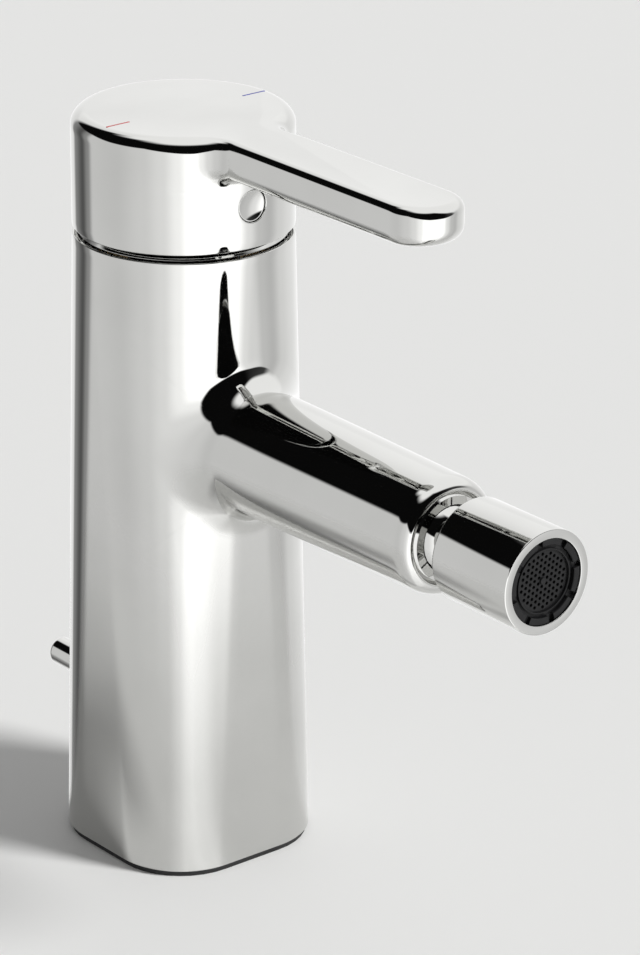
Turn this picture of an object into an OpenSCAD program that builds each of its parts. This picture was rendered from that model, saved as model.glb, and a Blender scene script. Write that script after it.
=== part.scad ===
// Bidet mixer: one lever, a ball-jointed outlet and a pop-up waste knob at the back.
// Frame: origin on the deck under the column's axis, +Z up, spout towards -Y, hot side at -X.
// Lengths are millimetres, angles are degrees. Every node is drawn at rest: lever down, outlet straight.

/* [Column] */
// Half the width of the column, which is also its radius at the top
column_r = 23; // [20:0.5:28]
// Corner radius of the rounded square at the base
base_corner = 15.5; // [10:0.5:22]
// Height of the column's top edge
column_top = 136; // [126:1:156]
// Thickness of the seal under the base
gasket_h = 1; // [0.6:0.1:2]
// Wall of the column around the hose chamber
chamber_wall = 3.5; // [2.5:0.1:5]
// Height of the hose chamber's ceiling
chamber_top = 74; // [60:1:76]
// Thickness of the lip that the drum dips behind
lip_wall = 1; // [0.9:0.05:1.1]

/* [Drum and lever] */
// Gap between the column and the drum
seam = 1.65; // [1.5:0.05:3]
// Height of the drum
drum_h = 23.85; // [22:0.05:28]
// Side wall of the drum
drum_wall = 2.6; // [2:0.1:3.2]
// Top wall of the drum
drum_lid = 3.2; // [2.4:0.1:3.6]
// Rounding of the drum's top edge
drum_edge = 2; // [0.6:0.1:2.2]
// Distance of the lever's tip from the column's axis
lever_reach = 83; // [70:1:110]
// Lever width beside the drum
lever_w = 16.5; // [14:0.5:20]
// Lever width near the tip
lever_tip_w = 16.6; // [14:0.2:20]
// Lever thickness
lever_t = 8.1; // [6:0.1:9]
// Rounding of the lever's lower edges
lever_round = 3; // [1.5:0.1:3.2]
// Fillet between the lever's sides and the drum
neck_fillet = 4; // [3:0.5:8]
// Lift of the lever at full flow
lift_angle = 20; // [15:1:20]

/* [Spout] */
// Height of the spout's axis
spout_z = 94.5; // [92:0.5:98]
// Spout radius beside the column
spout_r = 13; // [12:0.1:15]
// Spout radius at its end
spout_end_r = 12.2; // [11.8:0.1:13]
// Distance of the spout's end from the column's axis
spout_end = 85; // [75:1:110]
// Fillet between the spout and the column
spout_fillet = 6; // [3:0.5:7]
// Length of the rounded rim
rim_len = 3.6; // [2:0.1:5]
// Radius of the waterway
waterway_r = 6.5; // [5:0.1:7]

/* [Outlet] */
// Radius of the ball
ball_r = 8.2; // [7.8:0.1:8.5]
// Distance of the ball's centre behind the spout's end
ball_set = 5; // [4.8:0.1:5.4]
// Radius of the neck between ball and sleeve
neck_r = 5.2; // [4.5:0.1:5.3]
// Bore through the ball and neck
jet_r = 3.2; // [2.5:0.1:3.6]
// Radius of the sleeve
sleeve_r = 10.7; // [10:0.1:12]
// Gap from the spout's end to the sleeve
sleeve_gap = 6.4; // [5.6:0.1:9]
// Length of the sleeve
sleeve_len = 21.3; // [20:0.1:28]
// Wall of the sleeve at its mouth
sleeve_wall = 1.85; // [1.2:0.05:2.2]
// Distance between the holes of the outlet grid
grid_pitch = 1.2; // [1.15:0.01:1.6]

/* [Cartridge] */
// Height of the cartridge seat
seat_z = 106; // [105:0.5:107]
// Radius of the cartridge housing
housing_r = 16.8; // [16:0.1:17.2]
// Wall of the nut around the housing
nut_wall = 2.6; // [2:0.1:3]
// Radius of the housing's neck
neck_out_r = 11.5; // [11:0.1:11.8]
// Radius of the rotor
rotor_r = 10; // [9.4:0.1:10.2]
// Height of the lever's pivot above the drum's bottom edge
pivot_up = 13.85; // [13.2:0.05:14.2]
// Arm from the pivot to the end that moves the disc
stem_arm = 11; // [10.6:0.1:11.4]
// Radius of the pivot pin
pivot_r = 1.5; // [1.2:0.1:1.8]
// Radius of the upper disc
disc_r = 11; // [9:0.1:11.5]

/* [Pop-up knob] */
// Radius of the knob
knob_r = 3.1; // [2.5:0.1:3.4]
// Height of the knob's axis at rest
knob_z = 25; // [18:1:30]
// How far the knob stands out behind the column
knob_reach = 23.5; // [12:0.5:32]
// Distance of the pull rod from the column's rear face
rod_back = 8.5; // [7.5:0.1:9]
// Radius of the pull rod
rod_r = 2.5; // [2:0.1:2.8]
// Travel of the knob
rod_travel = 18; // [10:1:22]

/* [Connections] */
// Tapping radius of the M10x1 hose inlets
inlet_tap_r = 4.5; // [4.4:0.05:4.6]
// Tapping radius of the M8 fixing stud
stud_tap_r = 3.4; // [3.3:0.05:3.5]
// Tapping radius of the M4 pull rod socket
socket_tap_r = 1.65; // [1.6:0.05:1.7]
// Depth of the stud's thread in the bridge
stud_len = 11; // [8:0.5:14]
// Distance of each hose inlet from the middle plane
inlet_x = 11.5; // [11:0.1:12.5]
// Thread depth of the hose inlets
inlet_len = 12; // [10:0.5:12]
// Distance of each cartridge port from the outside of the housing
port_in = 7.3; // [6.9:0.1:7.8]
// Radius of the cartridge ports
port_r = 3.2; // [2.8:0.1:3.3]
// Distance of the inlets and their ports behind the column's axis
inlet_y = 1.5; // [0:0.1:3]

/* [Clearances] */
// Gap between pieces that turn or slide past each other
run_gap = 0.3; // [0.25:0.05:0.4]
// Radial gap of the pivot pin and of the pull rod
pin_gap = 0.05; // [0.03:0.01:0.09]
// Gap between flat faces that slide on each other
face_gap = 0.1; // [0.08:0.01:0.15]
// Gap around a piece that is dropped into its place
place_gap = 0.15; // [0.1:0.05:0.2]

/* [Hidden] */
$fn = 64;
drum_bottom = column_top + seam;
drum_top = drum_bottom + drum_h;
drum_in = column_r - drum_wall;
ceiling = drum_top - drum_lid;
pivot_z = drum_bottom + pivot_up;
recess_r = column_r - lip_wall;
ring_r = recess_r - 0.2;
ring_drop = seam - 0.2;
ring_top_r = ring_r - 0.66 * ring_drop;
ring_in = drum_in - 1.6;
dip = ring_r * sin(lift_angle) + (pivot_up + ring_drop) * cos(lift_angle) - pivot_up;
recess_z = drum_bottom - dip - 0.8;
nut_r = housing_r + nut_wall;
nut_len = 12;
shoulder_z = recess_z - 1.9;
chamber_half = column_r - chamber_wall;
chamber_corner = chamber_half - 3.5;
spout_slope = (spout_r - spout_end_r) / (spout_end - rim_len - 28);
ball_s = spout_end - ball_set;
mouth_r = ball_r + run_gap + 1.15;
mouth_s = ball_s - ball_r - 1.6;
sleeve_s = spout_end + sleeve_gap;
sleeve_e = sleeve_s + sleeve_len;
sleeve_in = sleeve_r - sleeve_wall;
insert_in = sleeve_in - 1.45;
grid_turn = 20.6;
disc_z = seat_z + 4;
lower_disc_h = 3.5;
upper_disc_z = disc_z + lower_disc_h + face_gap;
upper_disc_h = 3.5;
carrier_z = upper_disc_z + upper_disc_h;
carrier_h = 4;
flange_z = carrier_z + carrier_h + run_gap;
flange_top = shoulder_z - 2.1;
neck_top = column_top + 2.6;
rotor_top = neck_top + 2.4;
disc_stroke = stem_arm * sin(lift_angle);
disc_rest = disc_stroke / 2;
roller_r = 2.2;
roller_z = pivot_z - stem_arm;
post_half = roller_r + 0.1 + 1.5;
post_top = roller_z + 1.7;
stem_half = 3.9;
ear_in = stem_half + run_gap;
ear_out = 7.6;
ear_half = 3.5;
screw_z = pivot_z - 4.9;
screw_r = 2.5;
boss_r = 4.6;
plug_r = 3.45;
plug_deep = 1;
port_x = housing_r - port_in;
outlet_y = port_x - 1;
seal_r = port_r + 1.8;
housing_in = housing_r - 1.6;
flange_r = rotor_r + 3;
ball_flat = ball_r - 2.2;
rod_y = column_r - rod_back;
knob_end = column_r + knob_reach;
stud_boss_r = stud_tap_r + 2.6;
bridge_h = stud_len - 2;
bush_r = rod_r + 2.3;
slot_r = knob_r + run_gap;
mark_in = column_r - 8.6;
mark_out = column_r - 2.7;
mark_w = 0.6;
mark_front = 1.2;
mark_deep = 0.3;
hot_red = [0.72, 0.10, 0.10];
cold_blue = [0.12, 0.20, 0.62];
chrome_tone = [0.80, 0.81, 0.82];
brass_tone = [0.78, 0.63, 0.33];
steel_tone = [0.62, 0.63, 0.65];
black_tone = [0.06, 0.06, 0.07];
rubber_tone = [0.13, 0.13, 0.13];
white_tone = [0.90, 0.90, 0.88];
grey_tone = [0.45, 0.46, 0.48];
ceramic_tone = [0.93, 0.92, 0.87];

// Corner radius of the column at a height: a full circle at the top, base_corner at the deck
function corner_at(z) = column_r + (base_corner - column_r) * (1 - z / column_top);

// Distance from the centre of a rounded square (half side s, corner radius c) in direction a
function square_r(a, s, c) =
    let (q = abs(((a + 45) % 90) - 45), d = (s - c) * sqrt(2))
    tan(q) * s <= s - c ? s / cos(q) : d * cos(45 - q) + sqrt(c * c - pow(d * sin(45 - q), 2));

function square_ring(z, s, c, n) =
    [for (i = [0:n - 1]) let (a = 360 * i / n, r = square_r(a, s, c)) [r * cos(a), r * sin(a), z]];

function joined(lists) = [for (l = lists) each l];

// Faces of m closed rings of n points each, with both ends capped
function loft_faces(m, n) = concat(
    [[for (j = [0:n - 1]) j]],
    [for (i = [0:m - 2], j = [0:n - 1]) [i * n + j, (i + 1) * n + (j + 1) % n, i * n + (j + 1) % n]],
    [for (i = [0:m - 2], j = [0:n - 1]) [i * n + j, (i + 1) * n + j, (i + 1) * n + (j + 1) % n]],
    [[for (j = [n - 1:-1:0]) (m - 1) * n + j]]);

// Faces of m closed rings of n points each that close on themselves like a tube bent round
function hoop_faces(m, n) = concat(
    [for (i = [0:m - 1], j = [0:n - 1])
        [i * n + j, ((i + 1) % m) * n + (j + 1) % n, i * n + (j + 1) % n]],
    [for (i = [0:m - 1], j = [0:n - 1])
        [i * n + j, ((i + 1) % m) * n + j, ((i + 1) % m) * n + (j + 1) % n]]);

// Turns local +Z to the spout's direction and local +Y to up, at the spout's axis
module along_spout() translate([0, 0, spout_z]) rotate([90, 0, 0]) children();

module tube(r_out, r_in, h) difference() {
    cylinder(r = r_out, h = h);
    translate([0, 0, -1]) cylinder(r = r_in, h = h + 2);
}

module column_solid() {
    n = 60;
    edge = 0.5;
    z0 = gasket_h;
    levels = concat([[z0, -edge], [z0 + edge, 0]],
        [for (k = [1:4]) [z0 + edge + (column_top - z0 - 2 * edge) * k / 5, 0]],
        [[column_top - edge, 0], [column_top, -edge]]);
    points = joined([for (l = levels)
        square_ring(l[0], column_r + l[1], corner_at(l[0]) + l[1], n)]);
    polyhedron(points, loft_faces(len(levels), n));
}

function spout_radius(s) = spout_r - (s - 28) * spout_slope;

module spout_solid() {
    s1 = spout_end - rim_len;
    r1 = spout_radius(s1);
    lip = mouth_r + 0.3;
    rim = [for (a = [0:15:90]) [lip + (r1 - lip) * cos(a), s1 + rim_len * sin(a)]];
    along_spout() rotate_extrude() polygon(concat([[0, 10], [spout_radius(10), 10]], rim, [[0, spout_end]]));
}

// Fillet where the spout leaves the column: each ring runs round the spout and lies on both surfaces
module spout_collar() {
    n = 48;
    f = spout_fillet;
    rs = spout_r + 0.1;
    sink = 0.8;
    function ring_at(rho, dy, flat) = [for (j = [0:n - 1]) let (a = 360 * j / n, x = rho * cos(a))
        [x, flat ? -6 : -sqrt(column_r * column_r - x * x) - dy, spout_z + rho * sin(a)]];
    arcs = [for (u = [0:15:90]) ring_at(rs + f * (1 - sin(u)), f * (1 - cos(u)) - (u == 0 ? sink : 0), false)];
    rings = concat([ring_at(rs - 2, 0, true), ring_at(rs + f, 0, true)], arcs, [ring_at(rs - 2, f, false)]);
    polyhedron(joined(rings), hoop_faces(len(rings), n));
}

module chamber_cut() difference() {
    translate([0, 0, -1]) hull() for (x = [-1, 1], y = [-1, 1])
        translate([x * (chamber_half - chamber_corner), y * (chamber_half - chamber_corner), 0])
            cylinder(r = chamber_corner, h = chamber_top + 1);
    translate([-bush_r - 2.7, rod_y - bush_r - 2, -2]) cube([2 * bush_r + 5.4, 30, chamber_top + 4]);
    translate([-4, -column_r, -2]) cube([8, column_r + rod_y, bridge_h + 2 + gasket_h]);
    translate([0, 0, -2]) cylinder(r = stud_boss_r, h = stud_len + 2);
}

module knob_slot() {
    for (z = [knob_z, knob_z + rod_travel]) translate([0, rod_y, z]) rotate([-90, 0, 0])
        cylinder(r = slot_r, h = column_r);
    translate([-slot_r, rod_y, knob_z]) cube([2 * slot_r, column_r, rod_travel]);
}

// Column and spout joined as one skin, as wide as the column
module casting() resize([2 * column_r, 0, 0]) union() {
    column_solid();
    spout_solid();
    spout_collar();
}

module body() color(chrome_tone) difference() {
    union() {
        casting();
        cylinder(r = stud_boss_r, h = stud_len - 1);
    }
    translate([0, 0, recess_z]) cylinder(r = recess_r, h = column_top);
    translate([0, 0, recess_z - nut_len]) cylinder(r = nut_r, h = nut_len + 1);
    translate([0, 0, seat_z]) cylinder(r = housing_r + place_gap, h = recess_z - seat_z);
    for (side = [-1, 1]) {
        translate([side * inlet_x, inlet_y, chamber_top - 1]) cylinder(r = inlet_tap_r, h = inlet_len + 1);
        translate([side * port_x, inlet_y, chamber_top + inlet_len - 1])
            cylinder(r = port_r, h = seat_z - chamber_top - inlet_len + 2);
    }
    translate([0, -outlet_y, spout_z]) cylinder(r = port_r + 0.8, h = seat_z - spout_z + 1);
    translate([0, 0, -1]) cylinder(r = stud_tap_r, h = stud_len + 2);
    along_spout() {
        translate([0, 0, 4]) cylinder(r = waterway_r, h = spout_end);
        translate([0, 0, mouth_s]) cylinder(r = mouth_r, h = spout_end);
    }
    chamber_cut();
    translate([0, rod_y, -1]) cylinder(r = bush_r, h = knob_z + rod_travel + knob_r + 2);
    knob_slot();
}

module base_gasket() color(rubber_tone) difference() {
    linear_extrude(gasket_h) polygon([for (p = square_ring(0, column_r - 0.7, base_corner - 0.7, 60)) [p[0], p[1]]]);
    translate([0, 0, -1]) hull() for (x = [-1, 1], y = [-1, 1])
        translate([x * (chamber_half - chamber_corner), y * (chamber_half - chamber_corner), 0])
            cylinder(r = chamber_corner, h = gasket_h + 2);
}

module rod_bush() color(white_tone) translate([0, rod_y, gasket_h]) tube(bush_r, rod_r + pin_gap, 12);

module cartridge_nut() color(brass_tone) difference() {
    translate([0, 0, recess_z - nut_len + 1]) cylinder(r = nut_r - 0.05, h = nut_len - 1);
    translate([0, 0, recess_z - nut_len]) cylinder(r = housing_r + place_gap, h = shoulder_z - recess_z + nut_len);
    translate([0, 0, seat_z]) cylinder(r = neck_out_r + place_gap, h = 60);
    for (a = [0:60:300]) rotate(a) translate([(nut_r + neck_out_r) / 2, 0, recess_z - 1]) cylinder(r = 1.2, h = 4);
}

module cartridge_housing() color(grey_tone) difference() {
    union() {
        translate([0, 0, seat_z]) cylinder(r = housing_r, h = shoulder_z - seat_z);
        translate([0, 0, seat_z]) cylinder(r = neck_out_r, h = neck_top - seat_z);
    }
    translate([0, 0, seat_z - 1]) cylinder(r = housing_in, h = flange_top - seat_z + 1 + run_gap);
    translate([0, 0, seat_z]) cylinder(r = rotor_r + run_gap, h = rotor_top - seat_z);
}

module ports(r, h) {
    for (x = [-port_x, port_x]) translate([x, inlet_y, 0]) cylinder(r = r, h = h);
    translate([0, -outlet_y, 0]) cylinder(r = r, h = h);
}

module cartridge_base() color(black_tone) translate([0, 0, seat_z + 1]) difference() {
    cylinder(r = housing_in - 0.1, h = 3);
    translate([0, 0, -1]) ports(port_r, 6);
}

module port_seals() color(rubber_tone) translate([0, 0, seat_z]) difference() {
    ports(seal_r, 1);
    translate([0, 0, -1]) ports(port_r + 0.4, 3);
}

module fixed_disc() color(ceramic_tone) translate([0, 0, disc_z]) difference() {
    cylinder(r = housing_in - 0.2, h = lower_disc_h);
    translate([0, 0, -1]) ports(port_r - 0.2, 6);
}

module stop_ring() color(hot_red) translate([0, 0, neck_top]) difference() {
    cylinder(r = neck_out_r, h = 2);
    translate([0, 0, -1]) cylinder(r = rotor_r + run_gap, h = 4);
    for (a = [45:90:315]) rotate(a) translate([neck_out_r, 0, 1]) cylinder(r = 0.6, h = 2);
}

// Arc of points at radius r about the ball's centre, as [radius, distance along the spout]
function ball_arc(r, a0, a1, k) =
    [for (i = [0:k]) let (a = a0 + (a1 - a0) * i / k) [r * cos(a), ball_s + r * sin(a)]];

module ball_retainer() color(chrome_tone) along_spout() difference() {
    front = spout_end - 0.2;
    seat = ball_r + run_gap;
    lift = asin((front - ball_s) / seat);
    rotate_extrude() polygon(concat(ball_arc(seat, 0, lift, 8),
        [[mouth_r - 0.9, front], [mouth_r - 0.05, front - 0.8], [mouth_r - 0.05, ball_s]]));
    for (a = [90, 210, 330]) rotate(a) translate([4, -0.5, front - 1]) cube([4.6, 1, 3]);
}

module ball_seal() color(rubber_tone) along_spout() translate([0, 0, mouth_s + 0.5])
    rotate_extrude() translate([mouth_r - 0.9, 0]) circle(r = 0.5, $fn = 20);

module ball_seat() color(white_tone) along_spout() {
    s0 = mouth_s + 1.2;
    s1 = ball_s - 4.2;
    seat = ball_r + run_gap;
    a0 = asin((s0 + 1.2 - ball_s) / seat);
    a1 = asin((s1 - ball_s) / seat);
    rotate_extrude() polygon(concat([[3.9, s0]], [[3.9, s0 + 1.2]], ball_arc(seat, a0, a1, 6),
        [[mouth_r - run_gap, s1], [mouth_r - run_gap, s0]]));
}

module nozzle_ball() color(chrome_tone) along_spout() {
    flat = asin(-ball_flat / ball_r);
    neck_a = acos(neck_r / ball_r);
    rotate_extrude() polygon(concat([[jet_r, ball_s - ball_flat]], ball_arc(ball_r, flat, neck_a, 14),
        [[neck_r, sleeve_s + 4.6], [jet_r, sleeve_s + 4.6]]));
}

module nozzle_sleeve() color(chrome_tone) along_spout() {
    e = 0.5;
    t = 0.4;
    rotate_extrude() polygon([[neck_r, sleeve_s], [sleeve_r - e, sleeve_s], [sleeve_r - 0.15, sleeve_s + 0.15],
        [sleeve_r, sleeve_s + e], [sleeve_r, sleeve_e - t], [sleeve_r - t, sleeve_e], [sleeve_in + 0.1, sleeve_e],
        [sleeve_in, sleeve_e - 0.1], [sleeve_in, sleeve_s + 3], [neck_r, sleeve_s + 3]]);
}

module aerator_seal() color(rubber_tone) along_spout() translate([0, 0, sleeve_s + 3])
    tube(sleeve_in - place_gap, neck_r + place_gap, 1.6);

module flow_regulator() color(white_tone) along_spout() translate([0, 0, sleeve_s + 4.8]) difference() {
    cylinder(r = sleeve_in - place_gap, h = 3.6);
    for (a = [0:30:330]) rotate(a) translate([5.4, 0, -1]) cylinder(r = 0.8, h = 6, $fn = 24);
    for (a = [0:60:300]) rotate(a) translate([2.8, 0, -1]) cylinder(r = 0.8, h = 6, $fn = 24);
}

module aerator_housing() color(black_tone) along_spout() difference() {
    s0 = sleeve_s + 8.6;
    translate([0, 0, s0]) tube(sleeve_in - 0.05, insert_in, sleeve_e - 0.3 - s0);
    for (a = [0:45:315]) rotate(a + 12) translate([insert_in - 1, -0.7, sleeve_e - 1.1]) cube([3, 1.4, 3]);
}

module aerator_grid() color(black_tone) along_spout() {
    lip = insert_in - 0.75;
    field = lip - 0.4;
    rows = floor(field / (grid_pitch * sqrt(3) / 2));
    difference() {
        union() {
            translate([0, 0, sleeve_e - 2.4]) cylinder(r = insert_in, h = 1.2);
            translate([0, 0, sleeve_e - 2.4]) tube(lip, lip - 0.3, 1.7);
            translate([0, 0, sleeve_e - 2.4]) cylinder(r = 0.8, h = 1.5, $fn = 24);
        }
        rotate(grid_turn) for (j = [-rows:rows], i = [-8:8])
            let (x = (i + (abs(j) % 2) / 2) * grid_pitch, y = j * grid_pitch * sqrt(3) / 2)
            if (norm([x, y]) < field - 0.45 && norm([x, y]) > 1.1)
                translate([x, y, sleeve_e - 4]) rotate(30) cylinder(r = 0.4, h = 5, $fn = 6);
    }
}

module rotor() color(white_tone) difference() {
    union() {
        translate([0, 0, flange_z]) cylinder(r = flange_r, h = flange_top - flange_z);
        translate([0, 0, flange_z]) cylinder(r = rotor_r, h = rotor_top - flange_z);
        translate([-ear_out, -ear_half, flange_z]) cube([2 * ear_out, 2 * ear_half, pivot_z + 3.5 - flange_z]);
    }
    translate([-ear_in, -post_half - disc_stroke - run_gap, flange_z - 1])
        cube([2 * ear_in, 2 * post_half + disc_stroke + 2 * run_gap, 60]);
    translate([-column_r, 0, pivot_z]) rotate([0, 90, 0]) cylinder(r = pivot_r, h = 2 * column_r);
}

module pivot_pin() color(steel_tone) translate([-ear_out, 0, pivot_z]) rotate([0, 90, 0])
    cylinder(r = pivot_r, h = 2 * ear_out);

module drum_solid() {
    e = drum_edge;
    fillet = [for (a = [0:15:90]) [column_r - e + e * cos(a), drum_top - e + e * sin(a)]];
    rotate_extrude() polygon(concat([[0, drum_bottom], [column_r - 0.4, drum_bottom], [column_r, drum_bottom + 0.4]],
        fillet, [[0, drum_top]]));
}

// Half width of the lever at a distance y in front of the axis: flared beside the drum, round at the tip
function lever_half(y) =
    let (w0 = lever_w / 2, w1 = lever_tip_w / 2, f = neck_fillet,
        yc = sqrt(pow(column_r + f, 2) - pow(w0 + f, 2)),
        tip = lever_reach - w1 * 1.02,
        base = w0 + (w1 - w0) * max(0, min(1, (y - yc) / (tip - yc))))
    y < yc ? w0 + f - sqrt(max(0, f * f - pow(min(yc - y, f), 2)))
    : y < tip ? base : w1 * sqrt(max(0, 1 - pow((y - tip) / (w1 * 1.02), 2)));

// Rise of an arc of radius r that starts at distance r before the lever's tip
function tip_arc(y, r) = let (d = max(0, min(r, y - lever_reach + r))) r - sqrt(r * r - d * d);

// Underside of the lever: lower beside the drum, rounded up at the tip
function lever_under(y) =
    let (f = 1.8, yc = column_r + f, z = drum_top - lever_t)
    y < yc ? z - f + sqrt(max(0, f * f - pow(min(yc - y, f), 2))) : z + tip_arc(y, lever_round);

// Section of the lever: rounded on its top edges and more so below
function lever_ring(y, k) =
    let (w = max(0.6, lever_half(y)), zb = lever_under(y), zt = drum_top - tip_arc(y, drum_edge),
        rt = min(drum_edge, w * 0.8), rb = min(lever_round, w * 0.8, (zt - zb) - rt - 0.2))
    concat(
        [for (i = [0:k]) let (a = 90 - 90 * i / k) [-(w - rt) - rt * sin(90 - a), -y, zt - rt + rt * sin(a)]],
        [for (i = [0:k]) let (a = 90 * i / k) [-(w - rb) - rb * cos(a), -y, zb + rb - rb * sin(a)]],
        [for (i = [k:-1:0]) let (a = 90 * i / k) [(w - rb) + rb * cos(a), -y, zb + rb - rb * sin(a)]],
        [for (i = [k:-1:0]) let (a = 90 - 90 * i / k) [(w - rt) + rt * sin(90 - a), -y, zt - rt + rt * sin(a)]]);

module lever_solid() {
    k = 4;
    yn = sqrt(pow(column_r + neck_fillet, 2) - pow(lever_w / 2 + neck_fillet, 2));
    y0 = yn * column_r / (column_r + neck_fillet) + 0.1;
    t0 = lever_reach - lever_tip_w * 0.51;
    ys = concat([for (i = [0:6]) y0 + (yn - y0) * i / 6], [for (i = [1:5]) yn + (t0 - yn) * i / 5],
        [for (a = [15:15:75]) t0 + (lever_reach - t0) * sin(a)], [t0 + (lever_reach - t0) * sin(84), lever_reach]);
    n = 4 * (k + 1);
    polyhedron(joined([for (y = ys) lever_ring(y, k)]), loft_faces(len(ys), n));
}

module mark_block(side, extra)
    translate([side > 0 ? mark_in : -mark_out, -mark_front - mark_w / 2, drum_top - mark_deep])
    cube([mark_out - mark_in, mark_w, mark_deep + extra]);

module lever_handle() color(chrome_tone) difference() {
    union() {
        difference() {
            union() {
                drum_solid();
                lever_solid();
            }
            translate([0, 0, drum_bottom - 1]) cylinder(r = drum_in, h = ceiling - drum_bottom + 1);
        }
        translate([0, -drum_in - 0.6, screw_z]) rotate([-90, 0, 0])
            cylinder(r = boss_r, h = drum_in + 0.6 - ear_half - 0.5);
    }
    translate([0, -column_r - 2, screw_z]) rotate([-90, 0, 0]) cylinder(r = plug_r, h = 6);
    translate([0, -column_r, screw_z]) rotate([-90, 0, 0]) cylinder(r = screw_r, h = column_r);
    mark_block(-1, 1);
    mark_block(1, 1);
}

module lever_stem() color(steel_tone) difference() {
    union() {
        translate([-stem_half, -ear_half, roller_z + 3.4])
            cube([2 * stem_half, 2 * ear_half, ceiling - roller_z - 3.4]);
        translate([-2.4, -1.7, roller_z]) cube([4.8, 3.4, 4]);
        translate([-3, 0, roller_z]) rotate([0, 90, 0]) cylinder(r = roller_r, h = 6);
    }
    translate([-column_r, 0, pivot_z]) rotate([0, 90, 0]) cylinder(r = pivot_r + pin_gap, h = 2 * column_r);
}

// Polished ring in the drum's mouth whose bevel closes the seam and dips behind the lip when the lever lifts
module drum_ring() color(chrome_tone) rotate_extrude() polygon([[ring_in, drum_bottom - ring_drop],
    [ring_r, drum_bottom - ring_drop], [ring_top_r, drum_bottom], [drum_in, drum_bottom],
    [drum_in, drum_bottom + 3], [ring_in, drum_bottom + 3]]);

module set_screw() color(steel_tone) translate([0, -column_r + 4.4, screw_z]) rotate([-90, 0, 0]) difference() {
    cylinder(r = screw_r, h = column_r - 4.4 - ear_half);
    translate([0, 0, -1]) cylinder(r = 1.3, h = 4, $fn = 6);
}

module screw_plug() color(chrome_tone) intersection() {
    translate([0, -column_r - 2, screw_z]) rotate([-90, 0, 0]) cylinder(r = plug_r - place_gap, h = 5.8);
    cylinder(r = column_r - plug_deep, h = drum_top);
}

module hot_mark() color(hot_red) mark_block(-1, 0);

module cold_mark() color(cold_blue) mark_block(1, 0);

module disc_carrier() color(grey_tone) difference() {
    union() {
        translate([0, disc_rest, carrier_z]) cylinder(r = disc_r, h = carrier_h);
        translate([-stem_half, -post_half, carrier_z]) cube([2 * stem_half, 2 * post_half, post_top - carrier_z]);
    }
    translate([-10, -roller_r - 0.1, roller_z - 3.4]) cube([20, 2 * roller_r + 0.2, 20]);
}

module moving_disc() color(ceramic_tone) translate([0, disc_rest, upper_disc_z]) difference() {
    cylinder(r = disc_r, h = upper_disc_h);
    translate([0, 0, -1]) cylinder(r = 7, h = 2.8);
}

module knob_pin() color(chrome_tone) difference() {
    translate([0, rod_y - 3, knob_z]) rotate([-90, 0, 0]) rotate_extrude() polygon([[0, 0], [knob_r, 0],
        [knob_r, knob_end - rod_y + 2], [knob_r - 0.3, knob_end - rod_y + 2.7],
        [knob_r - 1, knob_end - rod_y + 3], [0, knob_end - rod_y + 3]]);
    translate([0, rod_y, knob_z - 10]) cylinder(r = rod_r, h = 10);
}

module pull_rod() color(steel_tone) translate([0, rod_y, 0]) difference() {
    translate([0, 0, gasket_h + 1]) cylinder(r = rod_r, h = knob_z - gasket_h - 1);
    cylinder(r = socket_tap_r, h = 12);
}

body();
base_gasket();
rod_bush();
cartridge_nut();
cartridge_housing();
cartridge_base();
port_seals();
fixed_disc();
stop_ring();
ball_retainer();
ball_seal();
rotor();
pivot_pin();
lever_handle();
lever_stem();
drum_ring();
set_screw();
screw_plug();
hot_mark();
cold_mark();
disc_carrier();
moving_disc();
ball_seat();
nozzle_ball();
nozzle_sleeve();
aerator_seal();
flow_regulator();
aerator_housing();
aerator_grid();
knob_pin();
pull_rod();
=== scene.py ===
import math

import bmesh
import bpy
import numpy as np
from mathutils import Matrix, Vector


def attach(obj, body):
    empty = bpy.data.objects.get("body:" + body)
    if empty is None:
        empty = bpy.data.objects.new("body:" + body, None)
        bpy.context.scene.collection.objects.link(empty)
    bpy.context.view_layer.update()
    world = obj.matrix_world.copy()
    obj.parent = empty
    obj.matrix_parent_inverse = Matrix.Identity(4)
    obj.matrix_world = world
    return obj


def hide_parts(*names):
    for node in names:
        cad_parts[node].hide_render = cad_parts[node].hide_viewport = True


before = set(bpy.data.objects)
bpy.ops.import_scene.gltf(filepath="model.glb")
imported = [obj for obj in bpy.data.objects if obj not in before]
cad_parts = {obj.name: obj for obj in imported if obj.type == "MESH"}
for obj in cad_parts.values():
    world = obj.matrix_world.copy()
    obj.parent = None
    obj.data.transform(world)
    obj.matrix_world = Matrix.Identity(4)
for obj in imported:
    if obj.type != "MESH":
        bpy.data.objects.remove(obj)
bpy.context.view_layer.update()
mm = 0.001

# Shared shape values in millimetres
column = {"half": 23.0, "baseCorner": 15.5, "top": 136.0, "foot": 1.0, "edge": 0.8, "lipEdge": 0.2,
          "steps": 192}
spout = {"z": 94.5, "r": 13.0, "endR": 12.2, "rimAt": 81.4, "end": 85.0, "fillet": 6.0, "mouthR": 9.65,
         "mouthFloor": 70.2, "waterR": 6.5, "waterFrom": 30.0, "taperFrom": 29.0, "taperEase": 11.0}
drum = {"bottom": 137.65, "bottomEdge": 0.3, "top": 161.8, "edge": 3.3, "inner": 20.4, "skirt": 0.4,
        "hollow": 139.5, "ceiling": 158.3, "plugZ": 146.6, "plugR": 3.45}
stepAngle = 2 * math.pi / column["steps"]
print("frame loaded")


# Surfaces

def gridFaces(rows, cols, closed, start):
    # quads between neighbouring rows and columns of a grid
    c = np.arange(cols if closed else cols - 1)
    a = (np.arange(rows - 1)[:, None] * cols + c).ravel()
    b = (np.arange(rows - 1)[:, None] * cols + (c + 1) % cols).ravel()
    return np.stack([a, b, b + cols, a + cols], 1) + start


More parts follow.
